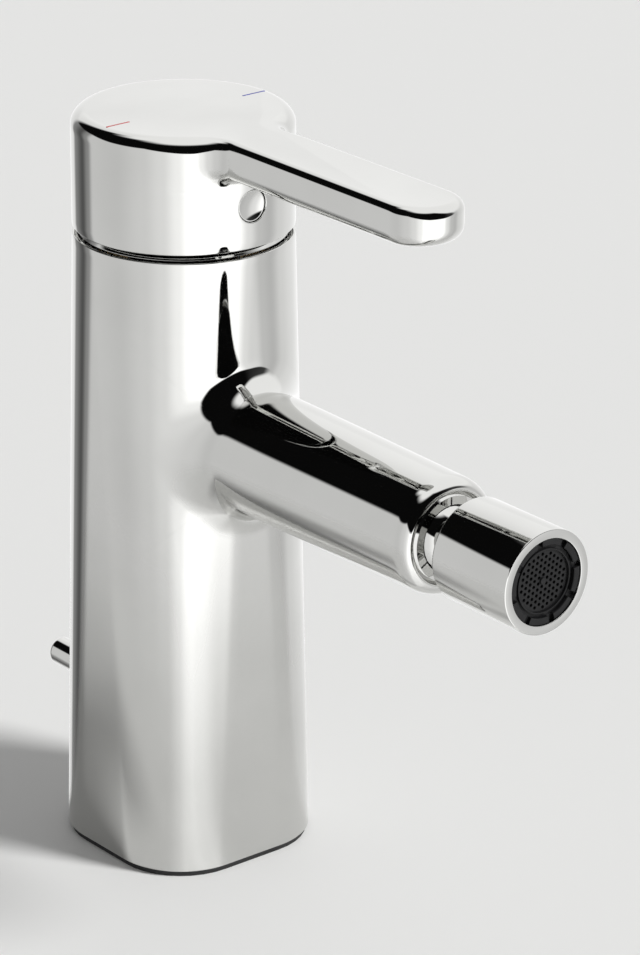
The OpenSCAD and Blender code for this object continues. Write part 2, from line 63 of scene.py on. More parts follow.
def buildPiece(spec, patches, caps=()):
    # patches are (rows, cols, 3) grids in millimetres with a closed flag, caps are flat polygons
    verts, faces, start = [], [], 0
    for points, closed in patches:
        rows, cols = points.shape[:2]
        verts.append(points.reshape(-1, 3))
        faces += gridFaces(rows, cols, closed, start).tolist()
        start += rows * cols
    for points in caps:
        verts.append(points)
        faces.append(list(range(start, start + len(points))))
        start += len(points)
    mesh = bpy.data.meshes.new(spec["name"])
    mesh.from_pydata((np.concatenate(verts) * mm).tolist(), [], faces)
    work = bmesh.new()
    work.from_mesh(mesh)
    bmesh.ops.remove_doubles(work, verts=work.verts, dist=1.5e-6)
    bmesh.ops.dissolve_degenerate(work, edges=work.edges, dist=1e-7)
    bmesh.ops.recalc_face_normals(work, faces=work.faces)
    work.to_mesh(mesh)
    work.free()
    mesh.polygons.foreach_set("use_smooth", np.ones(len(mesh.polygons), bool))
    mesh.set_sharp_from_angle(angle=math.radians(spec.get("sharp", 32)))
    piece = bpy.data.objects.new(spec["name"], mesh)
    bpy.context.scene.collection.objects.link(piece)
    mesh.materials.append(finishes[spec["finish"]])
    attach(piece, spec["body"])
    if "node" in spec:
        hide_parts(spec["node"])
    return piece


def arc(start, end, count):
    # even steps between two angles in degrees, in radians
    return np.radians(np.linspace(start, end, count))


def turned(profile, count=128, height=spout["z"], way=-1):
    # a profile of radius and distance from the middle plane, carried round a level axis at a height
    turn = np.linspace(0, 2 * np.pi, count, endpoint=False)
    r, s = np.asarray(profile, float).T
    return np.stack([r[:, None] * np.cos(turn), np.repeat(way * s[:, None], count, 1),
                     height + r[:, None] * np.sin(turn)], 2)


def turnedUp(profile, count=192):
    # a profile of radius and height, carried round the column's axis
    turn = np.linspace(0, 2 * np.pi, count, endpoint=False)
    r, z = np.asarray(profile, float).T
    return np.stack([r[:, None] * np.cos(turn), r[:, None] * np.sin(turn),
                     np.repeat(z[:, None], count, 1)], 2)


def rounded(corners, sizes, count=5):
    # a polyline whose corners are replaced by arcs that leave and join it at the given distance
    points = np.asarray(corners, float)
    out = []
    for i, size in enumerate(sizes):
        p = points[i]
        if size == 0:
            out.append(p[None])
            continue
        before, after = points[i - 1] - p, points[(i + 1) % len(points)] - p
        before, after = before / np.linalg.norm(before), after / np.linalg.norm(after)
        t = np.linspace(0, 1, count)[:, None]
        out.append(p + size * (before * (1 - t) ** 2 + after * t ** 2))
    return np.concatenate(out)


def shut(profile):
    # a profile that ends where it starts
    points = np.asarray(profile, float)
    return np.concatenate([points, points[:1]])


# Finishes

def makeFinish(spec):
    # one shader whose colour, roughness and relief vary a little with noise on the piece's own coordinates
    made = bpy.data.materials.new(spec["name"])
    made.use_nodes = True
    nodes, links = made.node_tree.nodes, made.node_tree.links
    shader = nodes["Principled BSDF"]
    place = nodes.new("ShaderNodeTexCoord")
    cloud = nodes.new("ShaderNodeTexNoise")
    cloud.inputs["Scale"].default_value = spec["scale"]
    cloud.inputs["Detail"].default_value = 3.0
    links.new(place.outputs["Object"], cloud.inputs["Vector"])
    tone = nodes.new("ShaderNodeValToRGB")
    tone.color_ramp.elements[0].position, tone.color_ramp.elements[1].position = 0.3, 0.7
    tone.color_ramp.elements[0].color = (*spec["dark"], 1)
    tone.color_ramp.elements[1].color = (*spec["light"], 1)
    links.new(cloud.outputs["Fac"], tone.inputs["Fac"])
    links.new(tone.outputs["Color"], shader.inputs["Base Color"])
    gloss = nodes.new("ShaderNodeMapRange")
    gloss.inputs["From Min"].default_value, gloss.inputs["From Max"].default_value = 0.3, 0.7
    gloss.inputs["To Min"].default_value, gloss.inputs["To Max"].default_value = spec["rough"]
    links.new(cloud.outputs["Fac"], gloss.inputs["Value"])
    links.new(gloss.outputs["Result"], shader.inputs["Roughness"])
    shader.inputs["Metallic"].default_value = spec.get("metal", 0.0)
    shader.inputs["Specular IOR Level"].default_value = spec.get("specular", 0.5)
    if "grain" in spec:
        grain = nodes.new("ShaderNodeTexNoise")
        grain.inputs["Scale"].default_value = spec["grain"][0]
        links.new(place.outputs["Object"], grain.inputs["Vector"])
        relief = nodes.new("ShaderNodeBump")
        relief.inputs["Strength"].default_value = spec["grain"][1]
        relief.inputs["Distance"].default_value = 0.0002
        links.new(grain.outputs["Fac"], relief.inputs["Height"])
        links.new(relief.outputs["Normal"], shader.inputs["Normal"])
    return made


finishSpecs = {
    "chrome": {"dark": (0.60, 0.60, 0.585), "light": (0.63, 0.63, 0.615),
               "rough": (0.025, 0.04), "scale": 55, "metal": 1.0},
    "steel": {"dark": (0.50, 0.50, 0.50), "light": (0.58, 0.58, 0.57),
              "rough": (0.14, 0.24), "scale": 160, "metal": 1.0},
    "brass": {"dark": (0.62, 0.44, 0.20), "light": (0.74, 0.55, 0.27),
              "rough": (0.22, 0.36), "scale": 140, "metal": 1.0, "grain": (2600, 0.15)},
    "rubber": {"dark": (0.012, 0.012, 0.013), "light": (0.022, 0.022, 0.022),
               "rough": (0.55, 0.72), "scale": 300, "grain": (4200, 0.3)},
    "black_plastic": {"dark": (0.008, 0.008, 0.0085), "light": (0.013, 0.013, 0.0135),
                      "rough": (0.3, 0.42), "scale": 420, "specular": 0.2, "grain": (3600, 0.12)},
    "white_plastic": {"dark": (0.72, 0.72, 0.69), "light": (0.80, 0.80, 0.77),
                      "rough": (0.35, 0.48), "scale": 240, "grain": (3200, 0.1)},
    "grey_plastic": {"dark": (0.15, 0.155, 0.165), "light": (0.20, 0.205, 0.215),
                     "rough": (0.38, 0.5), "scale": 240, "grain": (3200, 0.12)},
    "red_plastic": {"dark": (0.36, 0.012, 0.012), "light": (0.46, 0.02, 0.018),
                    "rough": (0.34, 0.46), "scale": 260, "grain": (3200, 0.1)},
    "ceramic": {"dark": (0.80, 0.78, 0.71), "light": (0.86, 0.84, 0.77), "rough": (0.12, 0.2), "scale": 320},
    "hot_paint": {"dark": (0.42, 0.018, 0.022), "light": (0.55, 0.03, 0.03),
                  "rough": (0.3, 0.42), "scale": 900},
    "cold_paint": {"dark": (0.022, 0.03, 0.24), "light": (0.04, 0.05, 0.36),
                   "rough": (0.3, 0.42), "scale": 900},
}
finishes = {slot: makeFinish({"name": slot, **spec}) for slot, spec in finishSpecs.items()}
print("finishes made")


# Column and spout

def squareRadius(angle, half, corner):
    # distance from the axis to a rounded square's edge in a direction
    q = np.abs((angle + np.pi / 4) % (np.pi / 2) - np.pi / 4)
    d = (half - corner) * math.sqrt(2)
    bend = d * np.cos(np.pi / 4 - q) + np.sqrt(np.maximum(corner ** 2 - (d * np.sin(np.pi / 4 - q)) ** 2, 0))
    return np.where(np.tan(q) * half <= half - corner, half / np.cos(q), bend)


def cornerAt(z):
    # the corner's radius grows evenly from the base to the full circle at the top
    return column["half"] + (column["baseCorner"] - column["half"]) * (1 - z / column["top"])


def skin(angle, z, inset=0.0):
    # the column's side: a rounded square whose corners open to a full circle at the top
    angle, z = np.broadcast_arrays(angle, np.asarray(z, float))
    r = squareRadius(angle, column["half"] - inset, cornerAt(z) - inset)
    return np.stack([r * np.cos(angle), r * np.sin(angle), z], -1)


def frontDepth(x, z):
    # distance of the column's front or rear face from the middle plane at a width and height
    corner = cornerAt(z)
    flat = column["half"] - corner
    reach = np.maximum(np.abs(x) - flat, 0)
    return flat + np.sqrt(np.maximum(corner ** 2 - reach ** 2, 0))


def borderLoop(first, last, heights):
    # grid points round a window, in order: along the bottom, up, back along the top and down
    along = np.arange(first, last + 1)
    rise = heights[1:-1]
    index = np.concatenate([along, np.full(len(rise), last), along[::-1], np.full(len(rise), first)])
    z = np.concatenate([np.full(len(along), heights[0]), rise, np.full(len(along), heights[-1]), rise[::-1]])
    return index * stepAngle, z


def between(a, b, count):
    # straight steps from one loop of numbers to another
    t = np.linspace(0, 1, count)[:, None]
    return a * (1 - t) + b * t


bodySpec = {"name": "bodyCasting", "finish": "chrome", "body": "mixer_body", "node": "body",
            "window": (108, 180), "slot": (41, 55), "bands": (1.5, 17.5, 50.5, 69.5, 119.5, 135.8),
            "bandSteps": (8, 24, 10, 36, 10), "chamberHalf": 19.5, "chamberCorner": 16.0, "chamberTop": 74.0,
            # radius and floor of the recess behind the lip, of the nut's bore and of the cartridge's seat
            "recess": (22.0, 128.87), "nutBore": (19.4, 116.9), "seatBore": (16.95, 106.0),
            # half width and height of the window that the spout grows from
            "windowHalf": (21.2, 25.0),
            "slotZ": (25.0, 43.0), "slotR": 3.3, "slotEdge": 0.4, "slotFloor": 17.3}


def bodyPatches(spec):
    # rings of the column's side at even heights, with the spout and the knob's slot let into two windows
    turn = np.arange(column["steps"]) * stepAngle
    levels = [np.linspace(a, b, n + 1)
              for a, b, n in zip(spec["bands"], spec["bands"][1:], spec["bandSteps"])]
    patches = [(skin(turn[None], levels[k][:, None]), True) for k in (0, 2, 4)]
    for k, (first, last) in ((1, spec["slot"]), (3, spec["window"])):
        rest = np.arange(last, first + column["steps"] + 1) * stepAngle
        patches.append((skin(rest[None], levels[k][:, None]), False))
    # foot: rounded edge, rim, then the hose chamber and its ceiling
    bend = arc(0, 90, 5)
    e = column["edge"]
    foot, roof = column["foot"], spec["chamberTop"]
    rows = [skin(turn, foot + e * (1 - math.sin(b)), e * (1 - math.cos(b))) for b in bend]
    inside = squareRadius(turn, spec["chamberHalf"], spec["chamberCorner"])
    for grow, z in ((0.4, foot), (0.12, foot + 0.12), (0, foot + 0.4), (0, 20), (0, 40), (0, roof - 2),
                    (-0.6, roof - 0.6), (-2, roof), (-20, roof)):
        r = np.maximum(inside + grow, 0)
        rows.append(np.stack([r * np.cos(turn), r * np.sin(turn), np.full_like(turn, z)], -1))
    patches.append((np.stack(rows), True))
    # lip, recess behind it, and the stepped bore for the cartridge
    top = column["top"]
    e = column["lipEdge"]
    rows = [skin(turn, top - e * (1 - math.sin(b)), e * (1 - math.cos(b))) for b in bend]
    (recessR, recessZ), (nutR, nutZ), (seatR, seatZ) = spec["recess"], spec["nutBore"], spec["seatBore"]
    bore = [(recessR + 0.15, top), (recessR + 0.04, top - 0.04), (recessR, top - 0.15),
            (recessR, recessZ + 0.23), (recessR - 0.2, recessZ), (nutR + 0.3, recessZ),
            (nutR, recessZ - 0.27), (nutR, nutZ), (seatR, nutZ), (seatR, seatZ), (0, seatZ)]
    patches.append((np.concatenate([np.stack(rows), turnedUp(bore, column["steps"])]), True))
    # spout: window in the column's front, fillet, taper, rounded rim, mouth and waterway
    angle, z = borderLoop(*spec["window"], levels[3])
    edge = skin(angle, z)
    halfX, halfZ = spec["windowHalf"]
    round_ = np.arctan2((z - spout["z"]) / halfZ, edge[:, 0] / halfX)
    wide = spout["r"] + spout["fillet"]
    inX, inZ = wide * np.cos(round_), spout["z"] + wide * np.sin(round_)
    inAngle = np.arctan2(-frontDepth(inX, inZ), inX) % (2 * np.pi)
    patches.append((skin(between(angle, inAngle, 9), between(z, inZ, 9)), True))
    u = arc(0, 90, 17)[:, None]
    rho = spout["r"] + spout["fillet"] * (1 - np.sin(u))
    x, z = rho * np.cos(round_), spout["z"] + rho * np.sin(round_)
    root = frontDepth(x, z) + spout["fillet"] * (1 - np.cos(u))
    patches.append((np.stack([x, -root, z], -1), True))
    ease = spout["taperEase"]
    straight = spout["taperFrom"] + ease
    s = between(root[-1], np.full_like(round_, straight), 9)
    s = np.concatenate([s, np.repeat(np.linspace(straight, spout["rimAt"], 22)[1:, None], len(round_), 1)])
    run = np.maximum(s - spout["taperFrom"], 0)
    ramp = np.where(run < ease, run ** 2 / (2 * ease), run - ease / 2)
    r = spout["r"] - (spout["r"] - spout["endR"]) * ramp / (spout["rimAt"] - straight + ease / 2)
    rim = arc(0, 90, 15)[1:]
    lipR = spout["mouthR"] + 0.3
    rimDeep = spout["end"] - spout["rimAt"]
    mouthR, end, deep = spout["mouthR"], spout["end"], spout["mouthFloor"]
    ends = np.concatenate([
        np.stack([lipR + (spout["endR"] - lipR) * np.cos(rim), spout["rimAt"] + rimDeep * np.sin(rim)], 1),
        [(mouthR + 0.15, end - 0.06), (mouthR + 0.04, end - 0.17), (mouthR, end - 0.3), (mouthR, deep),
         (spout["waterR"], deep), (spout["waterR"], spout["waterFrom"]), (0, spout["waterFrom"])]])
    r = np.concatenate([r, np.repeat(ends[:, :1], len(round_), 1)])
    s = np.concatenate([s, np.repeat(ends[:, 1:], len(round_), 1)])
    patches.append((np.stack([r * np.cos(round_), -s, spout["z"] + r * np.sin(round_)], -1), True))
    # slot at the back for the knob: a stadium with a rounded edge and a floor in front of the rod
    angle, z = borderLoop(*spec["slot"], levels[1])
    edge = skin(angle, z)
    slotR, soft = spec["slotR"], spec["slotEdge"]
    mid = np.clip(z, *spec["slotZ"])
    dx, dz = edge[:, 0], (z - mid)
    size = np.hypot(dx, dz)
    ux, uz = np.where(dz == 0, np.sign(dx), dx / size), np.where(dz == 0, 0, dz / size)
    inX, inZ = (slotR + soft) * ux, mid + (slotR + soft) * uz
    inAngle = np.arctan2(frontDepth(inX, inZ), inX)
    patches.append((skin(between(angle, inAngle, 6), between(z, inZ, 6)), True))
    u = arc(0, 90, 6)[:, None]
    rho = slotR + soft * (1 - np.sin(u))
    x, z = rho * ux, mid + rho * uz
    floor = np.full_like(ux, spec["slotFloor"])
    rows = [np.stack([x, frontDepth(x, z) - soft * (1 - np.cos(u)), z], -1)]
    rows.append(np.stack([x[-1], floor, z[-1]], -1)[None])
    rows.append(np.stack([0 * ux, floor, mid], -1)[None])
    patches.append((np.concatenate(rows), True))
    return patches


buildPiece(bodySpec, bodyPatches(bodySpec))
print("column and spout made")


# Drum and lever

leverSpec = {"name": "leverCasting", "finish": "chrome", "body": "lever", "node": "lever_handle",
             "window": (120, 168), "levels": (137.95, 142.2, 151.0, 158.5), "levelSteps": (3, 10, 13),
             "plug": (136, 152), "plugHalf": (5.95, 4.4), "plugEdge": 0.2, "plugFloor": 20.9,
             "half": 8.25, "tipHalf": 8.3, "tipAt": 74.53, "reach": 83.0, "widenFrom": 27, "under": 153.4,
             "riseFrom": 26, "rise": 0.1, "tipRise": 0.2, "round": 3.0, "tipRound": 0.3,
             "sideFillet": 4.0, "underFillet": 1.8,
             # the top edge's rounding on the lever, and where it takes over from the drum's
             "edge": 2.3, "blend": (17, 32)}


def eased(value, start, end):
    # goes from 0 to 1 between two numbers, level at both
    t = np.clip((value - start) / (end - start), 0, 1)
    return 3 * t ** 2 - 2 * t ** 3


def leverHalf(spec, d):
    # half the lever's width at a distance from the drum's axis
    return spec["half"] + (spec["tipHalf"] - spec["half"]) * eased(d, spec["widenFrom"], spec["tipAt"])


def leverUnder(spec, d):
    # height of the lever's underside at a distance from the drum's axis
    return spec["under"] + spec["rise"] * eased(d, spec["riseFrom"], spec["tipAt"])


def leverPatches(spec):
    # rings of the drum's wall at even heights, with the cover's hole and the lever let into two windows
    drumR = column["half"]
    turn = np.arange(column["steps"]) * stepAngle
    levels = [np.linspace(a, b, n + 1)
              for a, b, n in zip(spec["levels"], spec["levels"][1:], spec["levelSteps"])]

    def wall(angle, z):
        angle, z = np.broadcast_arrays(angle, z)
        return np.stack([drumR * np.cos(angle), drumR * np.sin(angle), z], -1)

    patches = [(wall(turn[None], levels[0][:, None]), True)]
    for k, (first, last) in ((1, spec["plug"]), (2, spec["window"])):
        rest = np.arange(last, first + column["steps"] + 1) * stepAngle
        patches.append((wall(rest[None], levels[k][:, None]), False))
    # bottom edge, then the hollow inside
    bend = arc(0, 90, 5)
    e = drum["bottomEdge"]
    edge = [(drumR - e * (1 - math.cos(b)), drum["bottom"] + e * (1 - math.sin(b))) for b in bend]
    skirt, inner, hollow, ceiling = drumR - drum["skirt"], drum["inner"], drum["hollow"], drum["ceiling"]
    inside = [(skirt + 0.02, drum["bottom"] + 0.05), (skirt, drum["bottom"] + 0.2), (skirt, hollow - 0.2),
              (skirt - 0.2, hollow), (inner + 0.3, hollow), (inner, hollow + 0.3), (inner, 150),
              (inner, ceiling - 1.5), (inner - 0.45, ceiling - 0.45), (inner - 1.5, ceiling), (0, ceiling)]
    patches.append((turnedUp(edge + inside, column["steps"]), True))
    # hole for the screw cover, with a broken edge
    angle, z = borderLoop(*spec["plug"], levels[1])
    x = drumR * np.cos(angle)
    halfX, halfZ = spec["plugHalf"]
    round_ = np.arctan2((z - drum["plugZ"]) / halfZ, x / halfX)
    e = spec["plugEdge"]
    rim = drum["plugR"] + e
    inX, inZ = rim * np.cos(round_), drum["plugZ"] + rim * np.sin(round_)
    inAngle = np.arctan2(-np.sqrt(drumR ** 2 - inX ** 2), inX) % (2 * np.pi)
    patches.append((wall(between(angle, inAngle, 6), between(z, inZ, 6)), True))
    u = arc(0, 90, 9)[:, None]
    rho = drum["plugR"] + e * (1 - np.sin(u))
    x, z = rho * np.cos(round_), drum["plugZ"] + rho * np.sin(round_)
    depth = np.sqrt(drumR ** 2 - x ** 2) - e * (1 - np.cos(u))
    floor, middle = np.full_like(round_, -spec["plugFloor"]), np.full_like(round_, drum["plugZ"])
    rows = [np.stack([x, -depth, z], -1), np.stack([x[-1], floor, z[-1]], -1)[None],
            np.stack([0 * round_, floor, middle], -1)[None]]
    patches.append((np.concatenate(rows), True))
    # section of the lever where it leaves the drum: side, rounding below, underside, mirrored
    across = spec["window"][1] - spec["window"][0]
    phi = arc(0, 90, 11)
    side = np.linspace(levels[2][-1], spec["under"] + spec["round"], 4)[:-1]
    px = np.concatenate([np.full(3, -spec["half"]), -(spec["half"] - spec["round"] * (1 - np.cos(phi)))])
    pz = np.concatenate([side, spec["under"] + spec["round"] * (1 - np.sin(phi))])
    nx = np.concatenate([-np.ones(3), -np.cos(phi)])
    nz = np.concatenate([np.zeros(3), -np.sin(phi)])
    flat = np.linspace(px[-1], -px[-1], across + 1)[1:-1]
    px = np.concatenate([px, flat, -px[::-1]])
    pz = np.concatenate([pz, np.full(len(flat), spec["under"]), pz[::-1]])
    nx = np.concatenate([nx, np.zeros(len(flat)), -nx[::-1]])
    nz = np.concatenate([nz, -np.ones(len(flat)), nz[::-1]])
    fillet = spec["underFillet"] + (spec["sideFillet"] - spec["underFillet"]) * nx ** 2
    # fillet from the drum's wall to that section
    u = arc(0, 90, 15)[:, None]
    x, z = px + nx * fillet * (1 - np.sin(u)), pz + nz * fillet * (1 - np.sin(u))
    depth = np.sqrt(drumR ** 2 - x ** 2) + fillet * (1 - np.cos(u))
    neck = np.stack([x, -depth, z], -1)
    patches.append((neck, False))
    # wall of the drum between its grid and the fillet
    first, last = spec["window"]
    tall = len(levels[2])
    rim = np.concatenate([np.full(tall - 1, first), np.arange(first, last), np.full(tall, last)]) * stepAngle
    rimZ = np.concatenate([levels[2][:0:-1], np.full(across, levels[2][0]), levels[2]])
    inAngle = np.arctan2(-depth[0], x[0]) % (2 * np.pi)
    apron = wall(between(rim, inAngle, 8), between(rimZ, z[0], 8))
    patches.append((apron, False))
    # left side from the drum to the tip's middle, swept round the tip, with the right side mirrored
    rows = len(side) + len(phi)
    t = np.linspace(0, 1, 33)[:, None]
    d0 = depth[-1][:rows]
    d = d0 * (1 - t) + spec["tipAt"] * t
    drop = np.concatenate([np.zeros(len(side)), 1 - np.cos(phi)])
    low = np.concatenate([np.zeros(len(side)), np.sin(phi)])
    steps = np.concatenate([np.linspace(1, 1 / 3, 3), np.zeros(len(phi))])
    under = leverUnder(spec, d)
    sideTop = levels[2][-1]
    straight = np.stack([-(leverHalf(spec, d) - spec["round"] * drop), -d,
                         under + spec["round"] * (1 - low) + steps * (sideTop - under - spec["round"])], -1)
    psi = arc(0, 90, 25)[1:, None]
    a, b = spec["tipHalf"], spec["reach"] - spec["tipAt"]
    nX, nY = np.cos(psi) / a, np.sin(psi) / b
    nX, nY = nX / np.hypot(nX, nY), nY / np.hypot(nX, nY)
    bendR = spec["round"] + spec["tipRound"] * np.sin(psi) ** 2
    under = leverUnder(spec, spec["tipAt"]) + spec["tipRise"] * np.sin(psi) ** 2
    tip = np.stack([-(a * np.cos(psi) - nX * bendR * drop),
                    -(spec["tipAt"] + b * np.sin(psi) - nY * bendR * drop),
                    under + bendR * (1 - low) + steps * (sideTop - under - bendR)], -1)
    left = np.concatenate([straight, tip])
    right = left * [-1, 1, 1]
    patches += [(left, False), (right, False)]
    # underside between both roundings
    w = np.linspace(-1, 1, across + 1)
    belly = np.stack([-left[:, -1:, 0] * -w[None], np.repeat(left[:, -1:, 1], across + 1, 1),
                      np.repeat(left[:, -1:, 2], across + 1, 1)], -1)
    count = len(t)
    d0 = depth[-1][rows - 1:rows + across]
    belly[:count, :, 1] = -(d0 * (1 - t) + spec["tipAt"] * t)
    belly[:count, :, 0] = -straight[:, -1:, 0] * w
    belly[count:, :, 0] = -tip[:, -1:, 0] * w
    patches.append((belly, False))
    # outline at the foot of the top edge's rounding, all the way round, then the rounding and the flat top
    behind = np.arange(last, first + column["steps"] + 1) * stepAngle
    outline = np.concatenate([wall(behind, levels[2][-1])[:-1], apron[:-1, 0], neck[:-1, 0], left[:-1, 0],
                              right[::-1, 0][:-1], neck[::-1, -1][:-1], apron[::-1, -1][:-1]])[:, :2]
    ahead = np.roll(outline, -1, 0) - outline
    ahead = ahead / np.linalg.norm(ahead, axis=1, keepdims=True)
    along = ahead + np.roll(ahead, 1, 0)
    along = along / np.linalg.norm(along, axis=1, keepdims=True)
    inward = np.stack([-along[:, 1], along[:, 0]], 1)
    b = arc(0, 90, 14)[:, None]
    e = drum["edge"] + (spec["edge"] - drum["edge"]) * eased(-outline[:, 1], *spec["blend"])
    draw = np.concatenate([0 * e[None], e * (1 - np.cos(b))])
    z = np.concatenate([np.full((1, len(e)), sideTop), drum["top"] - e * (1 - np.sin(b))])
    crown = np.concatenate([outline + inward * draw[..., None], z[..., None]], -1)
    patches.append((crown, True))
    return patches, [crown[-1]]


buildPiece(leverSpec, *leverPatches(leverSpec))
print("drum and lever made")


# Ring in the seam, screw cover and temperature marks

ringSpec = {"name": "drumRing", "finish": "chrome", "body": "lever", "node": "drum_ring",
            "corners": ((18.8, 136.2), (21.8, 136.2), (19.8, 139.28), (19.8, 140.65), (18.8, 140.65)),
            "sizes": (0, 0.15, 0, 0, 0)}
buildPiece(ringSpec, [(turnedUp(shut(rounded(ringSpec["corners"], ringSpec["sizes"]))), True)])

plugSpec = {"name": "screwCover", "finish": "chrome", "body": "lever", "node": "screw_plug",
            "r": 3.3, "front": 22.7, "back": 19.2, "edge": 0.1, "dish": 0.52}


def plugPatches(spec):
    # rings about the cover's middle: a dished face that follows a cylinder, a rounded edge, a side and a back
    turn = np.linspace(0, 2 * np.pi, 72, endpoint=False)
    e, b = spec["edge"], arc(0, 90, 5)
    face = np.linspace(0, spec["r"] - e, 17)
    rho = np.concatenate([face, spec["r"] - e + e * np.sin(b[1:]), [spec["r"], 0]])
    sink = np.concatenate([spec["dish"] * (1 - (face / face[-1]) ** 2), e * (1 - np.cos(b[1:])), [0, 0]])
    x, z = rho[:, None] * np.cos(turn), drum["plugZ"] + rho[:, None] * np.sin(turn)
    y = sink[:, None] - np.sqrt(spec["front"] ** 2 - x ** 2)
    y[-2:] = -spec["back"]
    return [(np.stack([x, y, z], -1), True)]


buildPiece(plugSpec, plugPatches(plugSpec))

markSpecs = ({"name": "hotMark", "finish": "hot_paint", "body": "lever", "node": "hot_mark", "side": -1},
             {"name": "coldMark", "finish": "cold_paint", "body": "lever", "node": "cold_mark", "side": 1})
markSize = {"from": 14.4, "to": 20.3, "y": -1.2, "half": 0.27, "low": 161.4, "high": 161.82}


def markPatches(side, size):
    # a bar with round ends: its outline at the foot, at the top and drawn in to its middle line
    bend = arc(-90, 90, 9)
    x = np.concatenate([size["to"] - size["half"] + size["half"] * np.cos(bend),
                        size["from"] + size["half"] - size["half"] * np.cos(bend)])
    y = np.concatenate([size["half"] * np.sin(bend), -size["half"] * np.sin(bend)])
    core = np.clip(x, size["from"] + size["half"], size["to"] - size["half"])
    rows = [(core, 0 * y, size["low"]), (x, y, size["low"]), (x, y, size["high"] - 0.03),
            (core + (x - core) * 0.9, y * 0.9, size["high"]), (core, 0 * y, size["high"])]
    points = [np.stack([side * px, size["y"] + py, np.full_like(px, pz)], -1) for px, py, pz in rows]
    return [(np.stack(points), True)]


for markSpec in markSpecs:
    buildPiece(markSpec, markPatches(markSpec["side"], markSize))
print("ring, cover and marks made")


# Outlet

ballSpec = {"name": "outletBall", "finish": "chrome", "body": "outlet", "node": "nozzle_ball",
            "middle": 80.0, "r": 8.2, "neck": 5.2, "jet": 3.2, "flat": 6.0, "end": 96.0}


def ballPatches(spec):
    # a circle from the flat behind to the neck in front, with a straight bore, turned about the spout's axis
    rise = np.linspace(math.asin(-spec["flat"] / spec["r"]), math.acos(spec["neck"] / spec["r"]), 41)
    curve = np.stack([spec["r"] * np.cos(rise), spec["middle"] + spec["r"] * np.sin(rise)], 1)
    neckEnd = [(spec["neck"], spec["end"]), (spec["jet"], spec["end"])]
    profile = shut([(spec["jet"], curve[0, 1]), *curve, *neckEnd])
    return [(turned(profile), True)]


buildPiece(ballSpec, ballPatches(ballSpec))

sleeveSpec = {"name": "outletSleeve", "finish": "chrome", "body": "outlet", "node": "nozzle_sleeve",
              "corners": ((5.2, 91.4), (10.7, 91.4), (10.7, 112.7), (8.85, 112.7), (8.85, 94.4), (5.2, 94.4)),
              "sizes": (0, 0.5, 0.25, 0.15, 0, 0)}
buildPiece(sleeveSpec, [(turned(shut(rounded(sleeveSpec["corners"], sleeveSpec["sizes"], 7))), True)])

keeperSpec = {"name": "ballKeeper", "finish": "chrome", "body": "mixer_body", "node": "ball_retainer",
              "middle": 80.0, "seat": 8.5, "front": 84.8, "outer": 9.6, "chamfer": (8.75, 84.0),
              "slots": (90, 210, 330), "slotHalf": 0.026, "slotTo": 8.65, "slotFloor": 84.1}


def keeperPatches(spec):
    # a ring's profile at many angles; at the slots the front face drops to the slot's floor
    lift = np.linspace(0, math.asin((spec["front"] - spec["middle"]) / spec["seat"]), 17)
    inner = np.stack([spec["seat"] * np.cos(lift), spec["middle"] + spec["seat"] * np.sin(lift)], 1)
    profile = shut([*inner, (spec["slotTo"], spec["front"]), (spec["slotTo"] + 0.001, spec["front"]),
                    (spec["chamfer"][0], spec["front"]), (spec["outer"], spec["chamfer"][1]),
                    (spec["outer"], spec["middle"])])
    slots = np.radians(spec["slots"])
    edges = (slots[:, None] + np.array([-1, -0.97, 0.97, 1]) * spec["slotHalf"]).ravel()
    turn = np.sort(np.concatenate([np.linspace(0, 2 * np.pi, 128, endpoint=False), edges]))
    inSlot = (np.abs(turn[:, None] - slots) < spec["slotHalf"] * 0.98).any(1)
    r, s = np.repeat(profile[:, :1], len(turn), 1), np.repeat(profile[:, 1:], len(turn), 1)
    cut = inSlot & (r <= spec["slotTo"]) & (s > spec["slotFloor"])
    s = np.where(cut, spec["slotFloor"], s)
    r = np.where(cut, np.maximum(r, np.sqrt(np.maximum(spec["seat"] ** 2 - (s - spec["middle"]) ** 2, 0))), r)
    return [(np.stack([r * np.cos(turn), -s, spout["z"] + r * np.sin(turn)], -1), True)]


buildPiece(keeperSpec, keeperPatches(keeperSpec))

insertSpec = {"name": "aeratorRing", "finish": "black_plastic", "body": "outlet", "node": "aerator_housing",
              "inner": 7.4, "outer": 8.8, "back": 100.0, "front": 112.4, "notches": 8, "start": 12.0,
              "notchHalf": 0.086, "notchFloor": 111.6, "edge": 0.12}


def insertPatches(spec):
    # a ring's profile at many angles; at the notches its end drops
    e = spec["edge"]
    inner, outer, back, front = (spec[key] for key in ("inner", "outer", "back", "front"))
    profile = shut([(inner, back), (inner, front - e), (inner + e, front),
                    (outer - e, front), (outer, front - e), (outer, back)])
    middles = np.radians(spec["start"] + 360 / spec["notches"] * np.arange(spec["notches"]))
    edges = (middles[:, None] + np.array([-1, -0.99, 0.99, 1]) * spec["notchHalf"]).ravel()
    turn = np.sort(np.concatenate([np.linspace(0, 2 * np.pi, 128, endpoint=False), edges]))
    inNotch = (np.abs(turn[:, None] - middles) < spec["notchHalf"] * 0.995).any(1)
    r, s = np.repeat(profile[:, :1], len(turn), 1), np.repeat(profile[:, 1:], len(turn), 1)
    s = np.where(inNotch, np.minimum(s, spec["notchFloor"]), s)
    return [(np.stack([r * np.cos(turn), -s, spout["z"] + r * np.sin(turn)], -1), True)]


buildPiece(insertSpec, insertPatches(insertSpec))

gridSpec = {"name": "aeratorGrid", "finish": "black_plastic", "body": "outlet", "node": "aerator_grid",
            "pitch": 1.2, "slant": 20.6, "rim": 7.38, "field": 5.8, "hole": 0.37,
            "back": 110.3, "front": 111.5, "deep": 1.0, "lip": (6.35, 6.65, 112.0), "boss": (0.7, 111.8)}


